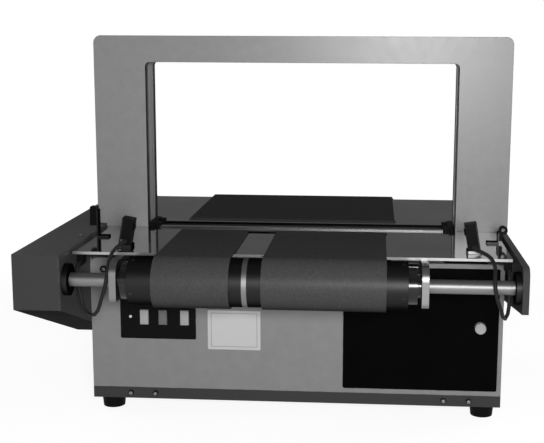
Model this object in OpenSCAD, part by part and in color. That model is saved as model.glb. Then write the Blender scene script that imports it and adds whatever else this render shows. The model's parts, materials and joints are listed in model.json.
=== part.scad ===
// Arch strapping machine with belt conveyors: cabinet, table, arch, drive and strap unit.
// Sizes below are in the machine's own directions: X to the right from the middle of the arch,
// Y to the back from the arch's front face, Z up from the floor. place() then moves every piece
// so that the origin lies on the floor under the middle of the footprint.

/* [Arch] */
// Clear width of the arch opening
open_w = 500; // [470:1:540]
// Clear height of the arch opening above the table
open_h = 267; // [200:1:340]
// Width of each post
post_w = 83; // [78:1:95]
// Height of the top beam
beam_h = 42; // [36:1:60]
// Depth of the arch from front to back
arch_t = 76; // [74:1:90]
// Sheet thickness of the arch covers
arch_sheet = 2; // [1.5:0.1:3]
// Radius of the arch's outer corners
arch_outer_r = 12; // [8:1:16]
// Radius of the opening's corners
arch_inner_r = 7; // [4:1:10]
// Depth of the flange that each cover turns into the opening
arch_lip = 13; // [11:0.5:16]
// Depth of the strap track behind the opening's face
track_d = 14; // [12:0.5:18]
// Wall of the strap track
track_wall = 2; // [1.5:0.1:3]

/* [Table] */
// Height of the table top above the floor
table_h = 275; // [270:1:320]
// Thickness of the table plates
table_t = 4; // [3:0.5:5]
// Reach of the table in front of the arch
table_front = 213; // [200:1:230]
// Rear edge of the table behind the arch's front face
table_rear = 343; // [330:1:380]
// Front edge of the strap slot behind the arch's front face
slot_front = 8; // [6:1:10]
// Width of the strap slot
slot_w = 50; // [47:1:54]
// Plate left standing between the strap slot and the front belts
strip_w = 28; // [24:1:32]
// Plate left standing between the strap slot and the rear belt
rear_strip_w = 12; // [11:1:32]

/* [Cabinet] */
// How far the cabinet reaches past the arch opening on each side
cab_margin = 68; // [64:1:76]
// Reach of the cabinet in front of the arch
cab_front = 110; // [100:1:118]
// Rear face of the cabinet behind the arch's front face
cab_rear = 270; // [255:1:285]
// Sheet thickness of the cabinet
cab_sheet = 1.5; // [1:0.1:2]
// Drop from the table top to the cabinet's upper edge
cab_drop = 30; // [28:1:34]
// Radius of the front panel's upper corners
panel_r = 11; // [6:1:16]
// Height of the base rail
rail_h = 18; // [14:1:24]
// Wall of the base rail
rail_wall = 3; // [2:0.5:4]
// Height of the rubber feet
foot_h = 20; // [15:1:30]
// Diameter of the rubber feet
foot_d = 38; // [30:1:46]
// Distance from a foot's axis to the cabinet's edges
foot_inset = 26; // [25:1:40]
// Head diameter of the rail bolts
bolt_head_d = 9; // [7:0.5:11]
// Distance between the two bolts of a pair
bolt_pitch = 39; // [30:1:50]

/* [Door and console] */
// Margin between the window and the front panel's edges
window_margin = 7; // [6.5:0.5:10]
// Width of the window
window_w = 237; // [225:1:245]
// Thickness of the smoked sliding door
door_t = 4; // [3:0.5:5]
// Overlap of the door behind the window's edge
door_lap = 3.5; // [2.5:0.5:3.5]
// Diameter of the door pull
pull_d = 17; // [12:1:22]
// Distance from the window's right edge to the middle of the pull
pull_edge = 28; // [20:1:36]
// Width of the control console's face
console_w = 118; // [114:1:130]
// Height of the control console's face
console_h = 66; // [58:1:80]
// Distance from the middle of the arch to the middle of the console
console_x = 213; // [200:1:230]
// Drop from the cabinet's upper edge to the middle of the console
console_drop = 94; // [80:1:110]
// Width of a push button
button_w = 13; // [11:0.5:15]
// Height of a push button
button_h = 23; // [18:0.5:26]
// Travel of a push button
button_travel = 3; // [2:0.5:4]
// Diameter of the power lamp
lamp_d = 5; // [4:0.5:7]

/* [Conveyor] */
// Diameter of the front drum
drum_d = 69; // [64:1:76]
// Distance from the table's front edge to the drum's axis
drum_ahead = 29; // [26:1:36]
// Diameter of the front shaft
shaft_d = 20; // [16:1:24]
// Wall of the drum's tube
drum_wall = 4; // [3:0.5:6]
// Length of the left half of the drum
drum_left = 161; // [155:1:168]
// Length of the right half of the drum
drum_right = 223; // [216:1:230]
// Distance from the middle of the arch to the left half's outer end
drum_start = 223; // [218:1:228]
// Width of the spacer ring between the halves
spacer_w = 7; // [4:0.5:10]
// Thickness of the conveyor belts
belt_t = 2.5; // [1.5:0.1:3]
// Width of the left front belt
belt_left_w = 108; // [90:1:120]
// Width of the right front belt
belt_right_w = 173; // [150:1:180]
// Width of the rear belt
belt_rear_w = 348; // [300:1:352]
// Diameter of the nose rollers at the slot
nose_d = 18; // [16:1:20]
// Diameter of the return roller
snub_d = 16; // [12:1:18]
// Distance from the drum's axis to the return roller's axis
snub_back = 84; // [78:1:92]
// Diameter of the rear end roller
rear_d = 32; // [28:1:34]
// Distance from the table's rear edge to the rear roller's axis
rear_behind = 14; // [13:1:18]
// Diameter of the rear roller's journals
rear_shaft_d = 12; // [10:1:14]
// Diameter of the small rollers' journals
journal_d = 8; // [6:0.5:9]
// Thickness of the bearing plates
arm_t = 10; // [8:0.5:12]
// Drop from the table top to the bearing plates' lower edge
arm_drop = 62; // [58:1:70]
// Outer diameter of the shaft's ball bearings
bearing_d = 36; // [30:1:40]

/* [Drive] */
// Width of the drive housing
housing_w = 66; // [60:1:80]
// Height of the drive housing's front face
housing_h = 80; // [76:1:90]
// How far the drive housing stands above the table
housing_rise = 5.5; // [3:0.5:8]
// Room between the drive belt and the inside of the drive housing's front
housing_room = 0.7; // [0.5:0.1:4]
// Slope of the drive housing's underside
housing_slope = 20.3; // [18:0.1:24]
// Sheet thickness of the drive housing
housing_sheet = 1.5; // [1:0.1:2]
// Thickness of the housing's back plate
back_t = 2; // [1.5:0.5:3]
// Pitch diameter of the front shaft's pulley
front_pulley_d = 41; // [36:1:44]
// Pitch diameter of the rear roller's pulley
rear_pulley_d = 18; // [17:1:24]
// Pitch diameter of the motor's pulley
motor_pulley_d = 30; // [24:1:36]
// Width of the drive belt
drive_belt_w = 10; // [8:0.5:14]
// Thickness of the drive belt
drive_belt_t = 3; // [2:0.5:4]
// Diameter of the gear motor's shaft
motor_shaft_d = 14; // [10:1:16]
// Diameter of the gear motor
motor_d = 80; // [70:1:90]
// Thickness of the right side plate
side_plate_t = 9; // [7:0.5:12]
// Gap between the cabinet and the right side plate
side_gap = 5; // [4:0.5:8]

/* [Strap unit] */
// Diameter of the strap reel's core hub
reel_core_d = 76; // [60:1:80]
// Diameter of the strap reel's flange
reel_flange_d = 170; // [150:1:180]
// Width of the strap
strap_w = 30; // [20:1:34]
// Diameter of the reel's spindle
spindle_d = 20; // [16:1:25]
// Diameter of the feed roller
feed_d = 40; // [36:1:44]
// Diameter of the pinch roller
pinch_d = 26; // [22:1:28]
// Diameter of the cam shaft
cam_shaft_d = 16; // [12:1:18]
// Base radius of the press cam
cam_base_r = 14; // [12:0.5:16]
// Lift of the press head
press_lift = 6; // [4:0.5:7]
// Turn of the cam shaft over the full lift, in degrees
cam_turn = 120; // [90:5:150]

/* [Photo sensors] */
// Height of a photo sensor's body
sensor_h = 38; // [30:1:44]
// Width of a photo sensor's body
sensor_w = 15; // [12:1:18]
// Depth of a photo sensor's body
sensor_d = 21; // [16:1:25]
// Distance from the arch's front face to the front pair of sensors
sensor_front_y = 172; // [165:1:180]
// Distance from the arch's front face to the rear pair of sensors at the table's edges
sensor_rear_y = 95; // [80:1:110]
// Distance from the middle of the arch to the left front sensor
sensor_left_x = 238; // [232:1:244]
// Distance from the middle of the arch to the right front sensor
sensor_right_x = 256; // [250:1:262]
// Lean of the sensors toward the middle of the table, in degrees
sensor_lean = 10; // [0:1:15]
// Diameter of the sensor cables
cable_d = 5.5; // [4:0.5:6]

/* [Clearances] */
// Gap between a belt and what it runs over
run_gap = 0.3; // [0.2:0.05:0.5]
// Radial clearance of a shaft in its bearing
shaft_fit = 0.05; // [0.02:0.01:0.09]
// Radial clearance of pieces that are pressed or screwed together
seat_fit = 0.05; // [0.02:0.01:0.1]
// Gap between a sliding piece and its guide
slide_gap = 0.3; // [0.2:0.05:0.5]

/* [Hidden] */
$fn = 96;

// Small cut overlap, so that no cut ends in a face
eps = 1;

// Arch and table
arch_x = open_w / 2;
arch_out = arch_x + post_w;
arch_top = table_h + open_h + beam_h;
deck_top = table_h - table_t;
slot_rear = slot_front + slot_w;
table_inset = 3;
table_x = arch_x + cab_margin - table_inset;
edge_gap = 1.5;
strip_end = 20;
strip_depth = 12;
strip_t = 2;
guide_end = 1;
guide_w = 9;
guide_over = 5;
guide_rise = 7;
tongue_drop = 1;
track_lip = 7;
anchor_gap = 3;
anchor_in = 6;
anchor_h = 30;
anchor_wall = 4;

// Cabinet
cab_x = arch_x + cab_margin;
cab_top = table_h - cab_drop;
rear_panel_drop = 10;
rail_top = foot_h + rail_h;
foot_x = cab_x - foot_inset;
foot_y = [-cab_front + foot_inset, cab_rear - foot_inset];
bolt_x = [-239, 250];
bolt_shank_d = 5;
bolt_head_h = 3;
foot_taper = 4;
bolt_z = foot_h + rail_h / 2;
deck_rail_w = 22;
deck_rail_gap = 0.5;
deck_rail_x = cab_x - cab_sheet - deck_rail_gap;
deck_rail_wall = 2;
deck_flange_over = 2;
deck_flange = deck_rail_w + deck_flange_over;
deck_front = -cab_front + cab_sheet;
deck_back = 8;
deck_rear = table_rear - deck_back;
clip_x = [-305, 310];
clip_w = 10;
clip_in = 5;
clip_len = 14;
clip_drop = 13;
clip_front = -table_front + clip_in;
clip_z = deck_top - clip_drop;
plate_behind = 4;
plate_y = slot_rear + plate_behind;
plate_t = 8;

// Window and sliding door
window_shift = 0.5;
window_x1 = cab_x - window_margin + window_shift;
window_x0 = window_x1 - window_w;
window_z0 = rail_top + window_margin;
window_z1 = cab_top - window_margin;
window_r = 3;
panel_back = -cab_front + cab_sheet;
door_y0 = panel_back + slide_gap;
door_y1 = door_y0 + door_t;
door_track_t = 2.5;
door_track_lip = 2;
door_track_hold = 5;
door_track_over = 4;
track_front = door_y1 + slide_gap;
track_back = track_front + door_track_lip;
pull_h = 9;
pull_x = window_x1 - pull_edge;
pull_rise = 5;
pull_z = (window_z0 + window_z1) / 2 + pull_rise;
pull_stop = 5;
door_travel = pull_x - pull_d / 2 - window_x0 - pull_stop;

// Control console
console_z = cab_top - console_drop;
console_t = 2;
console_depth = 24;
console_rim = 8;
console_y = -cab_front - console_t;
button_shift = [-21, 8, 42];
button_rise = 2;
button_proud = 3.5;
button_flange = 1;
button_flange_t = 1.5;
button_back = 4;
button_depth = button_flange_t + button_back;
lamp_shift = -43;
lamp_seat = 4;
lamp_proud = 1;
console_r = 2;
button_stop = 1;

// Conveyor rollers: [y, z] of each axis
drum_r = drum_d / 2;
nose_r = nose_d / 2;
snub_r = snub_d / 2;
rear_r = rear_d / 2;
drum_y = -table_front - drum_ahead;
drum_z = table_h - drum_r;
nose_z = table_h - nose_r;
nose_reach = nose_r + run_gap + belt_t + edge_gap;
front_nose_y = slot_front - strip_w - nose_reach;
rear_nose_y = slot_rear + rear_strip_w + nose_reach;
snub_y = drum_y + snub_back;
snub_z = table_h - 2 * nose_r - 2 * run_gap - belt_t - snub_r;
rear_y = table_rear + rear_behind;
rear_z = table_h - rear_r;

// Places along the front shaft
drum_x0 = -drum_start;
spacer_x = drum_x0 + drum_left;
drum_x1 = spacer_x + spacer_w + drum_right;
belt_left_x = -134;
belt_right_x = 51.5;
belt_rear_x = -20;
hub_left_len = 16;
hub_right_len = 18;
hub_wide_d = 54;
hub_neck_d = 34;
hub_neck = 5;
hub_gap = 0.5;
arm_left_x = drum_x0 - hub_left_len - hub_gap;
arm_right_x = drum_x1 + hub_right_len + hub_gap;
arm_ahead = 24;
arm_front = drum_y - arm_ahead;
arm_behind = 14;
arm_back = snub_y + arm_behind;
arm_bottom = table_h - arm_drop;
arm_top_r = 20;
arm_low_r = 7;
set_screw_d = 5;
set_screw_len = 6;
set_screw_in = 6;
set_screw_sunk = 0.3;
set_screw_turns = [20, 110, 200, 290];
drum_end_t = 6;
drum_core_wall = 8;
drum_core_d = shaft_d + 2 * drum_core_wall;
lug_t = 8;
lug_below = 6;
lug_drop = 2 * nose_r + lug_below;
nose_over = 2;
front_nose_x = [belt_left_x - belt_left_w / 2 - nose_over, belt_right_x + belt_right_w / 2 + nose_over];
rear_nose_x = [belt_rear_x - belt_rear_w / 2 - nose_over, belt_rear_x + belt_rear_w / 2 + nose_over];
roller_side_gap = 1;
belt_step = 3;
flange_d = 46;
rear_flange_in = 1;
rear_flange_d = rear_d - 2 * rear_flange_in;
shaft_hole_gap = 2;
flange_t = 8;

// Drive
back_x = -cab_x - back_t;
housing_x = back_x - housing_w;
housing_front = drum_y - front_pulley_d / 2 - run_gap - drive_belt_t - housing_room - housing_sheet;
housing_behind = 26;
housing_rear = rear_y + housing_behind;
housing_top = table_h + housing_rise;
post_gap = 1;
housing_low = housing_top - housing_h;
motor_y = 150;
motor_drop = 150;
motor_z = table_h - motor_drop;
gearbox_w = 90;
gearbox_len = 40;
motor_len = 90;
motor_seat = 30;
motor_seat_gap = 2;
motor_hole_gap = 8;
motor_hole_d = motor_shaft_d + 2 * motor_hole_gap;
housing_under = 25;
housing_floor = motor_z - motor_pulley_d / 2 - housing_under;
slope_end = housing_front + (housing_low - housing_floor) / tan(housing_slope);
housing_profile = [
    [housing_front, housing_low], [slope_end, housing_floor],
    [motor_y + gearbox_w / 2, housing_floor], [housing_rear, housing_low],
    [housing_rear, housing_top], [housing_front, housing_top]
];
pulley_in = 26;
pulley_x = back_x - pulley_in;
pulley_rim = 2.5;
pulley_rim_t = 1.5;
pulley_side_gap = 1.5;
pulley_w = drive_belt_w + 2 * (pulley_rim_t + pulley_side_gap);
shaft_over = 4;
shaft_sunk = 2;
shaft_end = pulley_x - pulley_w / 2 - shaft_over;
side_x = cab_x + side_gap;
side_top_drop = 1;
side_top = table_h - side_top_drop;
side_front_h = 66;
side_low = table_h - side_front_h;
side_deep = 105;
side_floor = table_h - side_deep;
side_r = 14;
boss_d = 16;
boss_in = 40;
boss_middle = 60;
boss_y = [-cab_front + boss_in, boss_middle, cab_rear - boss_in];
boss_drop = 20;
boss_z = cab_top - boss_drop;

// Strap unit
strap_y = slot_front + slot_w / 2;
reel_x = 192;
reel_z = (rail_top + cab_top) / 2;
feed_drop = 62;
feed_z = table_h - feed_drop;
feed_shaft_d = 10;
strap_gap = 0.6;
pinch_z = feed_z + feed_d / 2 + pinch_d / 2 + strap_gap;
seal_x = 75;
seal_wall = 8;
seal_depth = 20;
feed_off = 3;
feed_x = seal_x + feed_d / 2 + feed_off;
seal_drop = 14;
seal_top = table_h - seal_drop;
seal_h = 108;
seal_low = seal_top - seal_h;
cam_drop = 92;
cam_z = table_h - cam_drop;
guide_h = 26;
press_foot = 4;
press_side = 2;
spindle_over = 10;
reel_over = 2;
reel_flange_t = 3;
feed_side = 2;
pin_over = 3;
press_w = 50;
press_drop = 9;
press_top = table_h - press_drop;
press_stem = 12;
cam_gap = 0.6;
cam_t = 16;
cam_dwell = 150;
cam_after = 30;
cam_step = 6;
small_motor_d = 36;
small_gear_w = 44;
small_gear_len = 22;
motor_bite = 20;
small_motor_len = 55;
control_box_size = [140, 54, 120];
control_box_side = 18;
control_box_rise = 24;
control_lid = 2;
control_lid_in = 8;
gland_d = 22;
gland_neck_d = 16;
gland_len = 12;
gland_bore = 9;
gland_x = 230;
gland_rise = 32;
gland_z = rail_top + gland_rise;

// Photo sensors of the front pair: [x, y, side], side is +1 on the right
sensors = [[-sensor_left_x, -sensor_front_y, -1], [sensor_right_x, -sensor_front_y, 1]];
bracket_t = 2;
bracket_base = 24;
bracket_upright = 20;
bracket_over = 3;
sensor_lift = 5;
sensor_root = 6;
sensor_lens_d = 10;
sensor_lens_out = 2;
sensor_lens_drop = 12;
rear_post_in = 9;
rear_post_x = table_x - rear_post_in;
rear_post_w = 16;
rear_post_y = [-sensor_rear_y - rear_post_w / 2, -sensor_rear_y + rear_post_w / 2];
rear_post_h = 43;
ring_post_h = 18;
rear_foot = 16;
rear_foot_t = 3;
rear_body_x = rear_post_x + bracket_t;
rear_body = [10, 29];
rear_body_rise = 19;
ring_d = 13;
ring_bore = 6.5;
ring_t = 10;
ring_rise = 20.5;
ring_stem = [5, 5];

// Sensor cable routes, from the sensor's front face to its clip under the table
left_route = [
    [-245, -182.5, 286], [-245, -188.5, 286], [-245, -194.5, 286], [-247, -204, 284.5],
    [-250.5, -213.5, 281.5], [-253.5, -223, 277], [-255, -232, 271], [-255, -241, 264.5],
    [-254.5, -249.5, 256.5], [-254.5, -255.5, 247], [-256, -258.5, 236.5], [-259, -257.5, 226],
    [-263, -255, 216.5], [-266.5, -251.5, 206.5], [-270.5, -248.5, 197], [-276, -244.5, 190.5],
    [-283, -239.5, 188], [-290, -234.5, 190], [-295.5, -230.5, 196], [-299, -228, 205.5],
    [-301.5, -227, 216], [-303.5, -226, 227], [-304.5, -226, 237], [-305, -226, 246],
    [-305, -224.4, 252], [-305, -220, 256.4], [-305, -214, 258], [-305, -211, 258], [-305, -208, 258]
];
right_route = [
    [263, -182.5, 286], [263, -188.5, 286], [263, -194.5, 286], [266, -203, 285], [272, -210, 283.5],
    [279, -216, 281], [284.5, -223, 277], [287.5, -232, 271.5], [288, -241.5, 265.5], [287, -250, 258],
    [286.5, -256, 249], [287.5, -258.5, 238.5], [290, -257.5, 228], [293.5, -256, 218.5],
    [297, -252.4, 209.5], [299.5, -247.5, 200.5], [304, -239, 195.5], [308.5, -230.5, 200.5],
    [310.3, -226, 210], [310.3, -226, 220.5], [310.2, -226, 231], [310, -226, 239], [310, -226, 246],
    [310, -224.4, 252], [310, -220, 256.4], [310, -214, 258], [310, -211, 258], [310, -208, 258]
];

// Footprint of the whole machine
x_min = housing_x;
x_max = max(arch_out, side_x + side_plate_t);
y_min = drum_y - drum_r - run_gap - belt_t;
y_max = housing_rear;

module place() translate([-(x_min + x_max) / 2, -(y_min + y_max) / 2, 0]) children();

// A box between two corners
module span(x, y, z) translate([x[0], y[0], z[0]]) cube([x[1] - x[0], y[1] - y[0], z[1] - z[0]]);

// A 2D outline in X and Z, drawn out along Y
module xz(y0, y1) translate([0, y1, 0]) rotate([90, 0, 0]) linear_extrude(y1 - y0) children();

// A 2D outline in Y and Z, drawn out along X
module yz(x0, x1) translate([x0, 0, 0]) rotate([90, 0, 90]) linear_extrude(x1 - x0) children();

// A round bar along X or along Y
module bar_x(x0, x1, y, z, d) translate([x0, y, z]) rotate([0, 90, 0]) cylinder(d = d, h = x1 - x0);
module bar_y(x, y0, y1, z, d) translate([x, y0, z]) rotate([-90, 0, 0]) cylinder(d = d, h = y1 - y0);

// A rectangle with its upper corners rounded
module tombstone(x0, x1, z0, z1, r) {
    translate([x0, z0]) square([x1 - x0, z1 - z0 - r]);
    translate([x0 + r, z0]) square([x1 - x0 - 2 * r, z1 - z0]);
    for (x = [x0 + r, x1 - r]) translate([x, z1 - r]) circle(r);
}

// A rectangle with all corners rounded
module rounded(x0, x1, z0, z1, r) {
    translate([x0, z0 + r]) square([x1 - x0, z1 - z0 - 2 * r]);
    translate([x0 + r, z0]) square([x1 - x0 - 2 * r, z1 - z0]);
    for (x = [x0 + r, x1 - r], z = [z0 + r, z1 - r]) translate([x, z]) circle(r);
}

// The arch's outer outline, drawn in by a wall, and its opening, drawn out by a wall
module arch_outline(wall = 0, below = 0)
    tombstone(-arch_out + wall, arch_out - wall, table_h - below, arch_top - wall, arch_outer_r - wall);
module arch_opening(wall = 0, below = eps)
    tombstone(-arch_x - wall, arch_x + wall, table_h - below, table_h + open_h + wall, arch_inner_r + wall);

// A flat loop around rollers given as [y, z, radius, turn], turn -1 where the loop bends outward
function wrapped(a) = a - 360 * floor(a / 360);
function mid_r(p, t) = p[2] + run_gap + t / 2;
function heading(p, q, t) =
    atan2(q[1] - p[1], q[0] - p[0])
    + asin((p[3] * mid_r(p, t) - q[3] * mid_r(q, t)) / norm([q[0] - p[0], q[1] - p[1]]));
function touch(p, a, side, t) =
    [p[0], p[1]] + (p[3] * mid_r(p, t) + side * t / 2) * [sin(a), -cos(a)];
function loop_edge(rollers, side, t) = [for (i = [0:len(rollers) - 1])
    let (n = len(rollers), p = rollers[i], a = heading(rollers[(i + n - 1) % n], p, t),
        sweep = wrapped(p[3] * (heading(p, rollers[(i + 1) % n], t) - a)), steps = ceil(sweep / belt_step))
    for (k = [0:steps]) touch(p, a + p[3] * sweep * k / steps, side, t)];
module loop(rollers, t) difference() {
    polygon(loop_edge(rollers, 1, t));
    polygon(loop_edge(rollers, -1, t));
}

// A closed outline with corners in anticlockwise order, drawn in by a wall
function inward(p, i) = let (e = p[(i + 1) % len(p)] - p[i]) [-e[1], e[0]] / norm(e);
function drawn_in(p, wall) = [for (i = [0:len(p) - 1])
    let (a = inward(p, (i + len(p) - 1) % len(p)), b = inward(p, i)) p[i] + wall * (a + b) / (1 + a * b)];

// A tube along a route, with a flat face at each end
function unit(v) = v / norm(v);
function along(p, i) = unit(p[min(i + 1, len(p) - 1)] - p[max(i - 1, 0)]);
function sideways(p, i, last) = let (t = along(p, i)) unit(last - t * (last * t));
function frames(p, i, last) =
    i == len(p) ? [] : let (n = sideways(p, i, last)) concat([n], frames(p, i + 1, n));
module tube(p, d, sides = 8) {
    n = len(p);
    f = frames(p, 0, [0, 0, 1]);
    points = [for (i = [0:n - 1], k = [0:sides - 1])
        let (b = cross(along(p, i), f[i]), a = 360 * k / sides) p[i] + d / 2 * (cos(a) * f[i] + sin(a) * b)];
    skin = [for (i = [0:n - 2], k = [0:sides - 1], h = [0, 1])
        let (j = (k + 1) % sides, a = i * sides, b = a + sides)
        h == 0 ? [a + k, b + k, b + j] : [a + k, b + j, a + j]];
    ends = [for (k = [1:sides - 2], h = [0, 1])
        let (a = (n - 1) * sides) h == 0 ? [0, k, k + 1] : [a, a + k + 1, a + k]];
    polyhedron(points, concat(skin, ends));
}

// Base and cabinet
module base_rail() color("dimgray") place() difference() {
    span([-cab_x, cab_x], [-cab_front, cab_rear], [foot_h, rail_top]);
    span([-cab_x + rail_wall, cab_x - rail_wall], [-cab_front + rail_wall, cab_rear - rail_wall],
        [foot_h + rail_wall, rail_top + eps]);
    for (x = bolt_x, s = [-1, 1])
        bar_y(x + s * bolt_pitch / 2, -cab_front - eps, cab_rear + eps, bolt_z, bolt_shank_d + 2 * seat_fit);
}

module rubber_feet() color("black") place()
    for (x = [-foot_x, foot_x], y = foot_y) translate([x, y, 0])
        cylinder(d1 = foot_d - foot_taper, d2 = foot_d, h = foot_h);

module rail_bolt(x, y, side) {
    bar_y(x, side > 0 ? y : y - bolt_head_h, side > 0 ? y + bolt_head_h : y, bolt_z, bolt_head_d);
    bar_y(x, side > 0 ? y - 2 * rail_wall : y, side > 0 ? y : y + 2 * rail_wall, bolt_z, bolt_shank_d);
}

module rail_bolts() color("silver") place() for (x = bolt_x, s = [-1, 1]) {
    rail_bolt(x + s * bolt_pitch / 2, -cab_front, -1);
    rail_bolt(x + s * bolt_pitch / 2, cab_rear, 1);
}

module cabinet_shell() color("gray") place() difference() {
    union() {
        for (s = [0, 1]) mirror([s, 0, 0]) {
            span([cab_x - cab_sheet, cab_x], [panel_back, cab_rear - cab_sheet], [rail_top, cab_top]);
            span([cab_x - deck_flange, cab_x], [track_back, cab_rear - cab_sheet],
                [cab_top - cab_sheet, cab_top]);
        }
    }
    bar_x(-cab_x - eps, -cab_x + cab_sheet + eps, motor_y, motor_z, motor_hole_d);
}

module front_panel() color("gray") place() {
    xz(-cab_front, panel_back) difference() {
        tombstone(-cab_x, cab_x, rail_top, cab_top, panel_r);
        rounded(window_x0, window_x1, window_z0, window_z1, window_r);
        translate([-console_x - console_w / 2 + console_rim, console_z - console_h / 2 + console_rim])
            square([console_w - 2 * console_rim, console_h - 2 * console_rim]);
    }
    door_track(window_z0 - door_lap - slide_gap, -1);
    door_track(window_z1 + door_lap + slide_gap, 1);
}

// One folded track behind the front panel, above or below the sliding door
module door_track(z, side) {
    x0 = window_x0 - door_travel - door_lap - door_track_over;
    x1 = cab_x - cab_sheet;
    lip_z = z - side * door_track_hold;
    edge_z = z + side * door_track_t;
    span([x0, x1], [panel_back, track_back], [min(z, edge_z), max(z, edge_z)]);
    span([x0, x1], [track_front, track_back], [min(lip_z, edge_z), max(lip_z, edge_z)]);
}

module rear_panel() color("gray") place() difference() {
    span([-cab_x, cab_x], [cab_rear - cab_sheet, cab_rear], [rail_top, cab_top - rear_panel_drop]);
    bar_y(gland_x, cab_rear - cab_sheet - eps, cab_rear + eps, gland_z, gland_neck_d + 2 * seat_fit);
}

module deck_rails() color("dimgray") place() for (s = [0, 1]) mirror([s, 0, 0]) difference() {
    span([deck_rail_x - deck_rail_w, deck_rail_x], [deck_front, deck_rear], [cab_top, deck_top]);
    span([deck_rail_x - deck_rail_w + deck_rail_wall, deck_rail_x - deck_rail_wall],
        [deck_front - eps, deck_rear + eps], [cab_top + deck_rail_wall, deck_top - deck_rail_wall]);
}

// Round-bottomed clips under the table that take the ends of the sensor leads
module lead_clips() color("black") place() for (x = clip_x) xz(clip_front, clip_front + clip_len) {
    translate([x, clip_z]) circle(d = clip_w);
    translate([x - clip_w / 2, clip_z]) square([clip_w, clip_drop]);
}

module mechanism_plate() color("darkgray") place() {
    difference() {
        union() {
            span([-cab_x + cab_sheet, cab_x - cab_sheet], [plate_y, plate_y + plate_t],
                [rail_top, cab_top - cab_sheet]);
            span([-deck_rail_x + deck_flange, deck_rail_x - deck_flange], [plate_y, plate_y + plate_t],
                [rail_top, deck_top]);
        }
        bar_y(feed_x, plate_y - eps, plate_y + plate_t + eps, feed_z, feed_shaft_d + 2 * shaft_fit);
    }
    bar_y(reel_x, strap_y - strap_w / 2 - spindle_over, plate_y, reel_z, spindle_d);
    bar_y(feed_x, strap_y - strap_w / 2 - pin_over, plate_y, pinch_z, journal_d);
}

module mains_gland() color("black") place() difference() {
    union() {
        bar_y(gland_x, cab_rear, cab_rear + gland_len, gland_z, gland_d);
        bar_y(gland_x, cab_rear - gland_len, cab_rear, gland_z, gland_neck_d);
    }
    bar_y(gland_x, cab_rear - gland_len - eps, cab_rear + gland_len + eps, gland_z, gland_bore);
}

module control_box() color("lightgray") place()
    translate([-cab_x + control_box_side, plate_y - control_box_size[1], rail_top + control_box_rise]) {
        cube(control_box_size);
        translate([control_lid_in, -control_lid, control_lid_in])
            cube([control_box_size[0] - 2 * control_lid_in, control_lid,
                control_box_size[2] - 2 * control_lid_in]);
    }

// Sliding door
module window_door() color("darkslategray") place() difference() {
    xz(door_y0, door_y1) rounded(window_x0 - door_lap, window_x1 + door_lap,
        window_z0 - door_lap, window_z1 + door_lap, window_r);
    bar_y(pull_x, door_y0 - eps, door_y1 + eps, pull_z, pull_d / 2 + 2 * seat_fit);
}

module door_pull() color("lightgray") place() {
    bar_y(pull_x, door_y0 - pull_h, door_y0, pull_z, pull_d);
    bar_y(pull_x, door_y0, door_y1, pull_z, pull_d / 2);
}

// Control console
module control_console() color("black") place() difference() {
    union() {
        xz(console_y, -cab_front) rounded(-console_x - console_w / 2, -console_x + console_w / 2,
            console_z - console_h / 2, console_z + console_h / 2, console_r);
        well = console_rim + seat_fit;
        span([-console_x - console_w / 2 + well, -console_x + console_w / 2 - well],
            [-cab_front, -cab_front + console_depth],
            [console_z - console_h / 2 + well, console_z + console_h / 2 - well]);
    }
    for (s = button_shift) {
        button_block(s, slide_gap, [console_y - eps, -cab_front + eps]);
        button_block(s, button_flange + slide_gap,
            [-cab_front, -cab_front + button_depth + button_travel + button_stop]);
    }
    bar_y(-console_x + lamp_shift, console_y - eps, -cab_front + lamp_seat, console_z + button_rise,
        lamp_d + 2 * seat_fit);
}

// A button's outline, drawn out by a margin, between two depths
module button_block(shift, margin, y) span(
    [-console_x + shift - button_w / 2 - margin, -console_x + shift + button_w / 2 + margin], y,
    [console_z + button_rise - button_h / 2 - margin, console_z + button_rise + button_h / 2 + margin]);

module button(shift) place() {
    button_block(shift, 0, [console_y - button_proud, -cab_front + button_depth]);
    button_block(shift, button_flange, [-cab_front + slide_gap, -cab_front + slide_gap + button_flange_t]);
}

module button_left() color("gainsboro") button(button_shift[0]);
module button_middle() color("silver") button(button_shift[1]);
module button_right() color("gainsboro") button(button_shift[2]);

module power_lamp() color("white") place() bar_y(-console_x + lamp_shift, console_y - lamp_proud,
    -cab_front + lamp_seat, console_z + button_rise, lamp_d);

// Table and arch
module nose_lugs(x, y) for (x0 = [x[0] - lug_t - roller_side_gap, x[1] + roller_side_gap])
    span([x0, x0 + lug_t], [y - nose_r, y + nose_r], [table_h - lug_drop, deck_top]);
module nose_window(x, y0, y1) span(x, [y0, y1], [deck_top - eps, table_h + eps]);
module nose_bore(x, y)
    bar_x(x[0] - 2 * lug_t, x[1] + 2 * lug_t, y, nose_z, journal_d + 2 * shaft_fit);

module table_front_plate() color("silver") place() difference() {
    union() {
        span([-table_x, table_x], [-table_front, slot_front], [deck_top, table_h]);
        nose_lugs(front_nose_x, front_nose_y);
    }
    nose_window(front_nose_x, front_nose_y - nose_reach, slot_front - strip_w);
    nose_bore(front_nose_x, front_nose_y);
}

module table_rear_plate() color("silver") place() difference() {
    union() {
        span([-table_x, table_x], [slot_rear, table_rear], [deck_top, table_h]);
        nose_lugs(rear_nose_x, rear_nose_y);
    }
    nose_window(rear_nose_x, slot_rear + rear_strip_w, rear_nose_y + nose_reach);
    nose_bore(rear_nose_x, rear_nose_y);
}

module slot_strip() color("whitesmoke") place()
    span([-arch_x + strip_end, arch_x - strip_end], [slot_front - strip_depth, slot_front],
        [table_h, table_h + strip_t]);

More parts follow.
